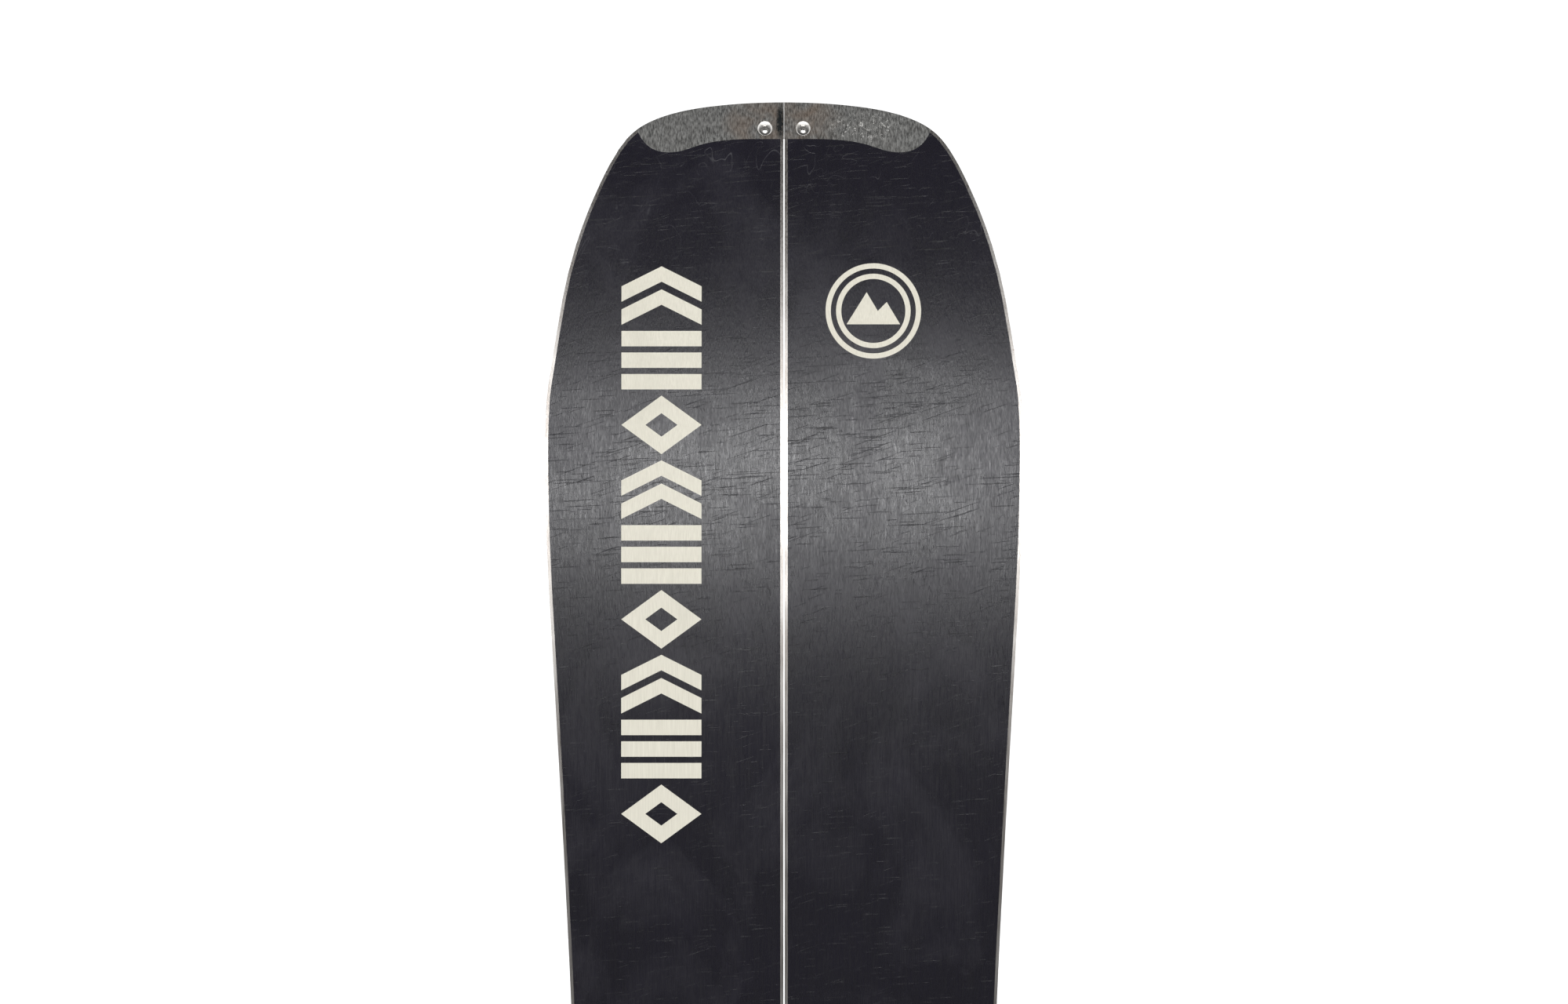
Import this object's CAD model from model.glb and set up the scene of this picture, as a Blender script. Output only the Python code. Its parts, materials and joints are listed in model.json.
import json
import math

import bmesh
import bpy
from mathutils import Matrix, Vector


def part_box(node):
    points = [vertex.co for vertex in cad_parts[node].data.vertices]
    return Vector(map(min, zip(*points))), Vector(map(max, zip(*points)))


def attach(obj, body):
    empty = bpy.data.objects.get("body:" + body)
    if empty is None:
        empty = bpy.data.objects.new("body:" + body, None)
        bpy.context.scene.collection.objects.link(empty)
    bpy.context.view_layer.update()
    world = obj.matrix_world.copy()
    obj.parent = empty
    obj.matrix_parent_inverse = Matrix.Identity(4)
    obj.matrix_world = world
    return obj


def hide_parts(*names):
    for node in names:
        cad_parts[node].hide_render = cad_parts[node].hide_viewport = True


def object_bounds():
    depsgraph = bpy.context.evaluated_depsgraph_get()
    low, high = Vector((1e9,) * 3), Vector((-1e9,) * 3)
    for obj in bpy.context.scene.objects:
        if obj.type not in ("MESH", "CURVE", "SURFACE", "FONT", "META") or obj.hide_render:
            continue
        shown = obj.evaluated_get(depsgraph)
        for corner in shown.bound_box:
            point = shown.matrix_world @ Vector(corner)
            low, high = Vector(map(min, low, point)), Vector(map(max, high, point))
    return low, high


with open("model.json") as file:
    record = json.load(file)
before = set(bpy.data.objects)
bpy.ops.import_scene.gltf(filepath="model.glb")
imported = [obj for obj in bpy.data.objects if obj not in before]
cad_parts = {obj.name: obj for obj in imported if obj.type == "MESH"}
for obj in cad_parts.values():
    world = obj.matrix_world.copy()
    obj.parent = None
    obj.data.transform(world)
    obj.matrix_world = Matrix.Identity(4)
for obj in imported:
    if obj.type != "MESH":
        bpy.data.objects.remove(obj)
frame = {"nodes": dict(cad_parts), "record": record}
nodes = frame["nodes"]
cad_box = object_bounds()
nose_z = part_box("left_topsheet")[1].z
studio_white = 1.15  # the background's strength, a little over white


# ---------------------------------------------------------------- material tools
class Paint:
    """A material whose nodes are added one call at a time."""

    def __init__(self, name, roughness, metallic=0.0, specular=0.5):
        self.material = bpy.data.materials.new(name)
        self.material.use_nodes = True
        self.tree = self.material.node_tree
        self.shader = self.tree.nodes["Principled BSDF"]
        self.shader.inputs["Roughness"].default_value = roughness
        self.shader.inputs["Metallic"].default_value = metallic
        self.shader.inputs["Specular IOR Level"].default_value = specular
        self.place = self.tree.nodes.new("ShaderNodeTexCoord").outputs["Object"]

    def link(self, source, target):
        self.tree.links.new(source, target)

    def set_or_link(self, value, socket):
        if isinstance(value, bpy.types.NodeSocket):
            self.link(value, socket)
        else:
            socket.default_value = value

    def stretched(self, scale, turn=0.0, shift=(0, 0, 0)):
        """Object coordinates turned about Y by turn degrees, then scaled along each axis."""
        turned = self.tree.nodes.new("ShaderNodeMapping")
        turned.inputs["Rotation"].default_value = (0, math.radians(turn), 0)
        turned.inputs["Location"].default_value = shift
        self.link(self.place, turned.inputs["Vector"])
        scaled = self.tree.nodes.new("ShaderNodeMapping")
        scaled.inputs["Scale"].default_value = scale
        self.link(turned.outputs["Vector"], scaled.inputs["Vector"])
        return scaled.outputs["Vector"]

    def noise(self, scale, turn=0.0, shift=(0, 0, 0), detail=4.0, rough=0.55, warp=0.0):
        """Noise whose grain size along each axis is one over scale, in metres."""
        node = self.tree.nodes.new("ShaderNodeTexNoise")
        node.inputs["Scale"].default_value = 1.0
        node.inputs["Detail"].default_value = detail
        node.inputs["Roughness"].default_value = rough
        node.inputs["Distortion"].default_value = warp
        self.link(self.stretched(scale, turn, shift), node.inputs["Vector"])
        return node.outputs["Fac"]

    def remap(self, value, low, high, to_low=0.0, to_high=1.0):
        """Linear change of range, held within the new range."""
        node = self.tree.nodes.new("ShaderNodeMapRange")
        self.set_or_link(value, node.inputs["Value"])
        node.inputs["From Min"].default_value = low
        node.inputs["From Max"].default_value = high
        node.inputs["To Min"].default_value = to_low
        node.inputs["To Max"].default_value = to_high
        return node.outputs["Result"]

    def math(self, operation, a, b=0.0):
        node = self.tree.nodes.new("ShaderNodeMath")
        node.operation = operation
        for value, socket in zip((a, b), node.inputs):
            self.set_or_link(value, socket)
        return node.outputs["Value"]

    def mix(self, share, a, b):
        """Colour a where share is 0, colour b where it is 1."""
        node = self.tree.nodes.new("ShaderNodeMix")
        node.data_type = "RGBA"
        self.set_or_link(share, node.inputs["Factor"])
        self.set_or_link(a, node.inputs[6])
        self.set_or_link(b, node.inputs[7])
        return node.outputs[2]

    def axis(self, letter):
        """Object coordinate along one axis, in metres."""
        node = self.tree.nodes.new("ShaderNodeSeparateXYZ")
        self.link(self.place, node.inputs["Vector"])
        return node.outputs[letter]

    def near(self, x, z, reach_x, reach_z):
        """1 at a place on the base, falling to 0 at an ellipse round it."""
        across = self.math("DIVIDE", self.math("SUBTRACT", self.axis("X"), x), reach_x)
        along = self.math("DIVIDE", self.math("SUBTRACT", self.axis("Z"), z), reach_z)
        across_squared = self.math("MULTIPLY", across, across)
        along_squared = self.math("MULTIPLY", along, along)
        square = self.math("ADD", across_squared, along_squared)
        return self.remap(square, 0.0, 1.0, 1.0, 0.0)

    def hairlines(self, shift):
        """1 along thin curved lines, where a slow warped noise crosses its middle value."""
        slow = self.noise((26, 26, 20), shift=shift, detail=1, warp=2.0)
        off_middle = self.math("ABSOLUTE", self.math("SUBTRACT", slow, 0.5))
        return self.remap(off_middle, 0.002, 0.006, 1.0, 0.0)

    def bump(self, heights):
        """Bumps from (height, depth in metres) pairs, each laid over those before it."""
        normal = None
        for height, depth in heights:
            node = self.tree.nodes.new("ShaderNodeBump")
            node.inputs["Strength"].default_value = 1.0
            node.inputs["Distance"].default_value = depth
            self.link(height, node.inputs["Height"])
            if normal:
                self.link(normal, node.inputs["Normal"])
            normal = node.outputs["Normal"]
        self.link(normal, self.shader.inputs["Normal"])

    def finish(self, color, roughness=None):
        self.set_or_link(color, self.shader.inputs["Base Color"])
        if roughness is not None:
            self.set_or_link(roughness, self.shader.inputs["Roughness"])
        return self.material


def grey(value, tint):
    """A grey of the given value with each channel multiplied by its tint."""
    return (value * tint[0], value * tint[1], value * tint[2], 1.0)


# ---------------------------------------------------------------- materials
def base_plastic(name, shift):
    """Black sintered base: fine lengthwise grind, cloudy worn patches, scratches and smudges."""
    p = Paint(name, 0.4, specular=0.35)
    fine = p.noise((1900, 1900, 75), shift=shift, detail=3)
    coarse = p.noise((620, 620, 24), shift=shift, detail=3)
    cloud = p.noise((9, 9, 5), shift=shift, detail=5, rough=0.6, warp=0.6)
    patch = p.noise((26, 26, 16), shift=shift, detail=5, rough=0.65, warp=1.0)
    level = p.noise((34, 34, 1300), turn=3, shift=shift, detail=2)
    slant = p.noise((28, 28, 1500), turn=19, shift=shift, detail=2)
    steep = p.noise((1500, 1500, 34), turn=12, shift=shift, detail=2)
    worn = p.remap(p.math("ADD", cloud, p.math("MULTIPLY", patch, 0.6)), 0.62, 1.02)
    haze = p.remap(p.noise((14, 14, 10), shift=(7, 0, 5), detail=6, rough=0.6, warp=0.8), 0.48, 0.72)
    by_nose = p.remap(p.axis("Z"), nose_z - 0.15, nose_z - 0.06)
    hairline = p.math("MULTIPLY", p.hairlines(shift), p.remap(patch, 0.50, 0.62))
    hairline = p.math("MULTIPLY", hairline, by_nose)
    lines = p.math("ADD", p.math("MULTIPLY", fine, 0.6), p.math("MULTIPLY", coarse, 0.4))
    lines = p.remap(lines, 0.36, 0.64)
    scratch = p.math(
        "MAXIMUM",
        p.math("MAXIMUM", p.remap(level, 0.65, 0.70), p.remap(slant, 0.67, 0.72)),
        p.remap(steep, 0.69, 0.73),
    )
    color = p.mix(worn, (0.0034, 0.0028, 0.0064, 1), (0.0085, 0.0076, 0.0130, 1))
    color = p.mix(p.math("MULTIPLY", haze, 0.5), color, (0.026, 0.0245, 0.034, 1))
    color = p.mix(p.math("MULTIPLY", lines, 0.5), color, (0.0135, 0.0125, 0.0195, 1))
    color = p.mix(p.math("MULTIPLY", scratch, 0.6), color, (0.0015, 0.0015, 0.0024, 1))
    color = p.mix(p.math("MULTIPLY", hairline, 0.6), color, (0.075, 0.074, 0.080, 1))
    roughness = p.math("ADD", p.remap(worn, 0, 1, 0.265, 0.235), p.remap(lines, 0, 1, 0.045, -0.045))
    roughness = p.math("ADD", roughness, p.math("MULTIPLY", p.math("ADD", haze, scratch), 0.05))
    p.bump([(lines, 0.00003), (scratch, 0.00002), (hairline, 0.00002)])
    return p.finish(color, roughness)


def graphic_plastic():
    """Cream die-cut plastic with the same lengthwise grind."""
    p = Paint("graphic_plastic", 0.45)
    fine = p.noise((1500, 1500, 45), detail=3)
    stain = p.noise((30, 30, 14), detail=5, warp=0.8)
    color = p.mix(p.remap(fine, 0.35, 0.65), (0.60, 0.575, 0.485, 1), (0.68, 0.655, 0.56, 1))
    color = p.mix(p.remap(stain, 0.55, 0.8, 0, 0.35), color, (0.50, 0.48, 0.40, 1))
    p.bump([(fine, 0.00002)])
    return p.finish(color, p.remap(fine, 0.3, 0.7, 0.40, 0.52))


def edge_steel(name, shift, rust_from):
    """Ground steel edge: lines along it, tarnish, and rust spots where noise passes rust_from."""
    p = Paint(name, 0.3, metallic=1.0)
    lines = p.noise((2500, 2500, 30), shift=shift, detail=3)
    tarnish = p.noise((60, 60, 22), shift=shift, detail=5, warp=0.5)
    rust = p.noise((150, 150, 38), shift=shift, detail=5, rough=0.65, warp=0.8)
    spots = p.remap(rust, rust_from, rust_from + 0.05)
    color = p.mix(p.remap(tarnish, 0.35, 0.7), (0.32, 0.305, 0.29, 1), (0.135, 0.118, 0.105, 1))
    color = p.mix(p.remap(lines, 0.3, 0.7, 0, 0.4), color, (0.46, 0.45, 0.44, 1))
    color = p.mix(spots, color, (0.22, 0.072, 0.022, 1))
    roughness = p.math("ADD", p.remap(lines, 0.3, 0.7, 0.24, 0.38), p.math("MULTIPLY", spots, 0.45))
    p.link(p.math("SUBTRACT", 1.0, spots), p.shader.inputs["Metallic"])
    p.bump([(lines, 0.00002), (spots, 0.00005)])
    return p.finish(color, roughness)


def plate_steel(name, side):
    """Brushed end plate: lengthwise brushing, brown bloom at the screw, scuffs further out."""
    p = Paint(name, 0.38, metallic=1.0)
    brush = p.noise((1100, 1100, 30), shift=(side, 0, 0), detail=4)
    bloom = p.noise((55, 55, 55), shift=(side, 0, 0), detail=5, warp=0.8)
    chips = p.noise((420, 420, 260), shift=(side, 0, 0), detail=4, rough=0.7, warp=1.2)
    brown = p.math("MULTIPLY", p.near(side * 0.012, nose_z - 0.014, 0.03, 0.022), p.remap(bloom, 0.35, 0.7))
    smear = p.near(-0.0025, nose_z - 0.013, 0.0032, 0.013)
    smear = p.math("MULTIPLY", smear, p.remap(chips, 0.35, 0.55, 0.3, 1.0))
    scuffed = p.near(0.052, nose_z - 0.016, 0.026, 0.011)
    scuffed = p.math("MULTIPLY", scuffed, p.remap(chips, 0.56, 0.64))
    color = p.mix(p.remap(brush, 0.32, 0.68), (0.125, 0.125, 0.122, 1), (0.32, 0.32, 0.31, 1))
    color = p.mix(p.remap(bloom, 0.4, 0.7, 0, 0.5), color, (0.24, 0.235, 0.225, 1))
    color = p.mix(p.math("MULTIPLY", brown, 0.7), color, (0.26, 0.19, 0.14, 1))
    color = p.mix(p.math("MULTIPLY", smear, 1.6), color, (0.03, 0.034, 0.036, 1))
    color = p.mix(scuffed, color, (0.70, 0.69, 0.66, 1))
    p.bump([(brush, 0.00004), (scuffed, 0.00008)])
    return p.finish(color, p.remap(brush, 0.3, 0.7, 0.30, 0.46))


def fastener_steel(name, dark=0.0):
    """Stainless fastener, dulled and browned in patches."""
    p = Paint(name, 0.22, metallic=1.0)
    dull = p.noise((350, 350, 350), detail=4, warp=0.6)
    clean = grey(0.78 - dark, (1, 0.98, 0.95))
    dulled = grey(0.42 - dark, (1, 0.96, 0.9))
    color = p.mix(p.remap(dull, 0.4, 0.7), clean, dulled)
    p.bump([(dull, 0.00003)])
    return p.finish(color, p.remap(dull, 0.35, 0.7, 0.16, 0.36))


def topsheet_plastic():
    """Satin charcoal topsheet with plain generic bands at mid-length, scuffed lightly."""
    band_pitch = 0.036
    band_slant = 0.9
    band_low = -0.150
    band_high = 0.210
    blend = 0.001
    p = Paint("topsheet_plastic", 0.4)
    grain = p.noise((700, 700, 40), detail=3)
    cloud = p.noise((12, 12, 7), detail=5, warp=0.5)
    scuff = p.noise((24, 24, 900), turn=18, detail=2)
    across = p.math("ABSOLUTE", p.axis("X"))
    slope = p.math("ADD", p.axis("Z"), p.math("MULTIPLY", across, band_slant))
    phase = p.math("FRACT", p.math("DIVIDE", p.math("ADD", slope, 2.0), band_pitch))
    stripes = p.math("MULTIPLY", p.remap(phase, 0.30, 0.31), p.remap(phase, 0.69, 0.70, 1, 0))
    above = p.remap(slope, band_low, band_low + blend)
    below = p.remap(slope, band_high, band_high + blend, 1, 0)
    bands = p.math("MULTIPLY", stripes, p.math("MULTIPLY", above, below))
    color = p.mix(p.remap(cloud, 0.35, 0.7), (0.016, 0.017, 0.020, 1), (0.030, 0.031, 0.036, 1))
    color = p.mix(p.math("MULTIPLY", bands, 0.9), color, (0.42, 0.40, 0.33, 1))
    color = p.mix(p.remap(scuff, 0.76, 0.80, 0, 0.5), color, (0.16, 0.16, 0.17, 1))
    p.bump([(grain, 0.00004), (p.remap(scuff, 0.76, 0.80), 0.00003)])
    return p.finish(color, p.remap(grain, 0.3, 0.7, 0.34, 0.48))


def sidewall_plastic():
    """Black moulded sidewall with milling lines along it."""
    p = Paint("sidewall_plastic", 0.5)
    lines = p.noise((260, 1400, 14), detail=3)
    worn = p.noise((40, 40, 20), detail=5, warp=0.6)
    color = p.mix(p.remap(worn, 0.45, 0.75), (0.012, 0.012, 0.013, 1), (0.040, 0.040, 0.042, 1))
    p.bump([(lines, 0.00006)])
    return p.finish(color, p.remap(lines, 0.3, 0.7, 0.42, 0.58))


def glass_laminate():
    """Cured glass fibre: a greenish resin with a weave of fibres along and across."""
    p = Paint("glass_laminate", 0.35)
    along = p.noise((1800, 1800, 20), detail=2)
    across = p.noise((20, 1800, 1800), detail=2)
    weave = p.math("MAXIMUM", along, across)
    color = p.mix(p.remap(weave, 0.4, 0.7), (0.20, 0.22, 0.15, 1), (0.42, 0.44, 0.34, 1))
    p.bump([(weave, 0.00004)])
    return p.finish(color, p.remap(weave, 0.4, 0.7, 0.28, 0.45))


def core_wood():
    """Wood core: lengthwise grain in glued strips across the width."""
    p = Paint("core_wood", 0.55)
    grain = p.noise((520, 520, 7), detail=5, warp=0.3)
    strip = p.noise((55, 1, 0.01), detail=0)
    color = p.mix(p.remap(grain, 0.3, 0.7), (0.36, 0.22, 0.11, 1), (0.62, 0.44, 0.25, 1))
    color = p.mix(p.remap(strip, 0.45, 0.55, 0, 0.45), color, (0.48, 0.28, 0.13, 1))
    p.bump([(grain, 0.00008)])
    return p.finish(color, p.remap(grain, 0.3, 0.7, 0.45, 0.65))


def hook_aluminium():
    """Dark anodised aluminium plate, rubbed brighter in patches and scratched."""
    p = Paint("hook_aluminium", 0.36, metallic=1.0)
    grain = p.noise((900, 900, 900), detail=3)
    rubbed = p.noise((90, 90, 90), detail=5, rough=0.7, warp=0.8)
    scratch = p.noise((60, 60, 1700), turn=35, detail=2)
    color = p.mix(p.remap(rubbed, 0.5, 0.75), (0.055, 0.056, 0.060, 1), (0.16, 0.16, 0.165, 1))
    color = p.mix(p.remap(scratch, 0.70, 0.76, 0, 0.7), color, (0.45, 0.45, 0.46, 1))
    p.bump([(grain, 0.00003), (p.remap(scratch, 0.70, 0.76), 0.00004)])
    return p.finish(color, p.remap(grain, 0.3, 0.7, 0.28, 0.44))


def spacer_plastic():
    """Moulded black spacer with a fine eroded texture."""
    p = Paint("spacer_plastic", 0.55)
    grain = p.noise((1400, 1400, 1400), detail=3)
    color = p.mix(p.remap(grain, 0.35, 0.65), (0.014, 0.014, 0.015, 1), (0.034, 0.034, 0.036, 1))
    p.bump([(grain, 0.00006)])
    return p.finish(color, p.remap(grain, 0.3, 0.7, 0.48, 0.62))


def assign_materials():
    """Give every CAD node the material of its record slot, with its own for left and right."""
    shared = {
        "graphic_plastic": graphic_plastic(),
        "screw_steel": fastener_steel("screw_steel"),
        "insert_steel": fastener_steel("insert_steel", 0.25),
        "glass_laminate": glass_laminate(),
        "core_wood": core_wood(),
        "sidewall_plastic": sidewall_plastic(),
        "topsheet_plastic": topsheet_plastic(),
        "hook_aluminium": hook_aluminium(),
        "spacer_plastic": spacer_plastic(),
    }
    own = {
        "left_base_sheet": base_plastic("base_plastic_left", (0.31, 0, 0.17)),
        "right_base_sheet": base_plastic("base_plastic_right", (1.7, 0, 2.9)),
        "left_nose_plate": plate_steel("plate_steel_left", -1),
        "right_nose_plate": plate_steel("plate_steel_right", 1),
        "left_outer_edge": edge_steel("edge_steel_left", (0.2, 0, 0.9), 0.74),
        "right_outer_edge": edge_steel("edge_steel_right", (2.1, 0, 1.3), 0.66),
        "left_inner_edge": edge_steel("edge_steel_left_seam", (4.2, 0, 3.3), 0.78),
        "right_inner_edge": edge_steel("edge_steel_right_seam", (5.2, 0, 2.3), 0.78),
    }
    own["left_tail_plate"] = own["left_nose_plate"]
    own["right_tail_plate"] = own["right_nose_plate"]
    for part in frame["record"]["subparts"]:
        material = own.get(part["node"]) or shared[part["material_slot"]]
        mesh = nodes[part["node"]].data
        mesh.materials.clear()
        mesh.materials.append(material)


# ---------------------------------------------------------------- screws
def screw_place(points, faces):
    """A screw's outward axis, a direction across it, the middle of its top and its length."""
    crown = [face for face in faces if face.normal.y < -0.8]
    outward = sum((face.normal * face.area for face in crown), Vector()).normalized()
    across = outward.cross(Vector((1, 0, 0))).normalized()
    middle = Vector()
    for axis in (Vector((1, 0, 0)), across):
        reaches = [point.dot(axis) for point in points]
        middle += axis * (min(reaches) + max(reaches)) / 2
    depths = [point.dot(outward) for point in points]
    return outward, across, middle + outward * max(depths), max(depths) - min(depths)


def domed_screw(shape, outward, across, top, length):
    """Round domed head with a hexagon socket on a plain shank, added to a bmesh."""
    head_radius = 0.0050
    head_height = 0.0022
    dome_height = 0.0017
    dome_start = 28.0  # degrees from the axis, at the flat round the socket
    dome_steps = 8
    shank_radius = 0.0020
    socket_radius = 0.0021
    socket_depth = 0.0015
    socket_rim = 0.00012
    sides = 48
    # Each ring of the profile: its radius, its height from the top, and whether it is a hexagon
    profile = [
        (0.0, -socket_depth, True),
        (socket_radius, -socket_depth, True),
        (socket_radius, -socket_rim, True),
    ]
    for step in range(dome_steps + 1):
        turn = math.radians(dome_start + (90 - dome_start) * step / dome_steps)
        profile.append((head_radius * math.sin(turn), dome_height * (math.cos(turn) - 1), False))
    profile += [(head_radius, -head_height, False), (shank_radius, -head_height, False)]
    profile += [(shank_radius, -length, False), (0.0, -length, False)]
    rings = []
    for radius, depth, hexagon in profile:
        ring = []
        for step in range(sides):
            angle = 2 * math.pi * step / sides
            reach = radius
            if hexagon:
                reach *= math.cos(math.pi / 6) / math.cos((angle % (math.pi / 3)) - math.pi / 6)
            spoke = Vector((1, 0, 0)) * math.cos(angle) + across * math.sin(angle)
            ring.append(shape.verts.new(top + spoke * reach + outward * depth))
        rings.append(ring)
    for inner, outer in zip(rings, rings[1:]):
        for step in range(sides):
            after = (step + 1) % sides
            shape.faces.new((inner[step], outer[step], outer[after], inner[after]))


def make_screws(side, sharp_angle=35.0):
    """The two plate screws of one half, which stand for its CAD screws."""
    name = f"{side}_plate_screws"
    source = nodes[name].data
    shape = bmesh.new()
    for end in (-1, 1):
        points = [vertex.co for vertex in source.vertices if vertex.co.z * end > 0]
        faces = [face for face in source.polygons if face.center.z * end > 0]
        domed_screw(shape, *screw_place(points, faces))
    bmesh.ops.remove_doubles(shape, verts=shape.verts, dist=0.000001)
    bmesh.ops.recalc_face_normals(shape, faces=shape.faces)
    for face in shape.faces:
        face.smooth = True
    for edge in shape.edges:
        edge.smooth = edge.calc_face_angle() < math.radians(sharp_angle)
    mesh = bpy.data.meshes.new(f"{name}_domed")
    shape.to_mesh(mesh)
    shape.free()
    mesh.materials.append(source.materials[0])
    piece = bpy.data.objects.new(f"{name}_domed", mesh)
    bpy.context.scene.collection.objects.link(piece)
    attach(piece, f"{side}_half")
    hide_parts(name)


# ---------------------------------------------------------------- shading of curved pieces
def join_shading(name, sharp_angle=25.0):
    """Weld a gently curved piece's CAD faces, so that its highlight runs on over their joints."""
    piece = nodes[name]
    weld = piece.modifiers.new("weld", "WELD")
    weld.merge_threshold = 0.00001
    split = piece.modifiers.new("corners", "EDGE_SPLIT")
    split.split_angle = math.radians(sharp_angle)
    piece.modifiers.new("normals", "WEIGHTED_NORMAL").mode = "FACE_AREA"


def join_all_shading():
    """Join the shading of the long curved pieces of both halves."""
    sheets = ("base_sheet", "base_graphic", "topsheet")
    rims = ("outer_edge", "inner_edge", "outer_sidewall")
    for side in ("left", "right"):
        for piece in sheets + rims:
            join_shading(f"{side}_{piece}")


# ---------------------------------------------------------------- camera, floor and lights
def make_camera():
    """Square on to the base, framed on the nose end."""
    view_depth = 14.0
    view_width = 1.016  # of the whole picture, at the board
    view_drop = 0.260  # from the nose's end to the picture's middle
    data = bpy.data.cameras.new("camera")
    data.sensor_width = 36.0
    data.lens = data.sensor_width * view_depth / view_width
    data.clip_start = 0.1
    data.clip_end = 200.0
    camera = bpy.data.objects.new("camera", data)
    camera.location = (0.0, -view_depth, nose_z - view_drop)
    camera.rotation_euler = (math.radians(90), 0, 0)
    bpy.context.scene.collection.objects.link(camera)
    bpy.context.scene.camera = camera


def make_floor():
    """A wide plain pale floor just under the tail, which reflections leave out."""
    reach = 60.0
    gap = 0.002
    mesh = bpy.data.meshes.new("floor")
    shape = bmesh.new()
    bmesh.ops.create_grid(shape, x_segments=1, y_segments=1, size=reach)
    shape.to_mesh(mesh)
    shape.free()
    floor = bpy.data.objects.new("floor", mesh)
    floor.location.z = cad_box[0].z - gap
    bpy.context.scene.collection.objects.link(floor)
    p = Paint("floor_paint", 0.8, specular=0.2)
    p.finish((0.86, 0.86, 0.86, 1))
    mesh.materials.append(p.material)
    floor.visible_glossy = False


def area_light(name, place, target, size, power):
    """A softbox at a place, turned to face its target and unseen by the camera."""
    data = bpy.data.lights.new(name, "AREA")
    data.shape = "RECTANGLE"
    data.size, data.size_y = size
    data.energy = power
    light = bpy.data.objects.new(name, data)
    light.location = place
    light.rotation_euler = (Vector(target) - Vector(place)).to_track_quat("-Z", "Y").to_euler()
    light.visible_camera = False
    bpy.context.scene.collection.objects.link(light)


def make_world():
    """White at the sides and above, dark in front of the base, and grey behind the topside."""
    dark = 0.03
    back_shift = 0.14  # leaves the back less dark than the front
    dark_from = 0.99
    white_to = 0.44
    world = bpy.data.worlds.new("studio")
    world.use_nodes = True
    tree = world.node_tree
    background = tree.nodes["Background"]
    background.inputs["Color"].default_value = (1, 1, 1, 1)
    direction = tree.nodes.new("ShaderNodeSeparateXYZ")
    tree.links.new(tree.nodes.new("ShaderNodeTexCoord").outputs["Generated"], direction.inputs["Vector"])
    shifted = tree.nodes.new("ShaderNodeMath")
    shifted.operation = "SUBTRACT"
    shifted.inputs[1].default_value = back_shift
    tree.links.new(direction.outputs["Y"], shifted.inputs[0])
    facing = tree.nodes.new("ShaderNodeMath")
    facing.operation = "ABSOLUTE"
    tree.links.new(shifted.outputs["Value"], facing.inputs[0])
    shade = tree.nodes.new("ShaderNodeMapRange")
    shade.interpolation_type = "SMOOTHSTEP"
    tree.links.new(facing.outputs["Value"], shade.inputs["Value"])
    shade.inputs["From Min"].default_value = white_to
    shade.inputs["From Max"].default_value = dark_from
    shade.inputs["To Min"].default_value = studio_white
    shade.inputs["To Max"].default_value = dark
    seen = tree.nodes.new("ShaderNodeMix")
    tree.links.new(tree.nodes.new("ShaderNodeLightPath").outputs["Is Camera Ray"], seen.inputs["Factor"])
    tree.links.new(shade.outputs["Result"], seen.inputs["A"])
    seen.inputs["B"].default_value = studio_white
    tree.links.new(seen.outputs["Result"], background.inputs["Strength"])
    bpy.context.scene.world = world


def make_lights():
    """A softbox for the sheen across the base, a soft sun straight above and a light behind."""
    sheen_place = (0, -4.5, nose_z + 0.82)
    sheen_target = (0, 0, nose_z - 0.26)
    area_light("sheen_light", sheen_place, sheen_target, size=(0.72, 0.62), power=50)
    area_light("back_light", (-1.4, 2.8, 1.8), (0, 0, 0), size=(1.6, 1.6), power=60)
    data = bpy.data.lights.new("top_light", "SUN")
    data.energy = 1.7
    data.angle = math.radians(60)
    bpy.context.scene.collection.objects.link(bpy.data.objects.new("top_light", data))


bpy.context.scene.view_settings.view_transform = "Standard"
assign_materials()
make_screws("left")
make_screws("right")
join_all_shading()
make_camera()
make_floor()
make_world()
make_lights()
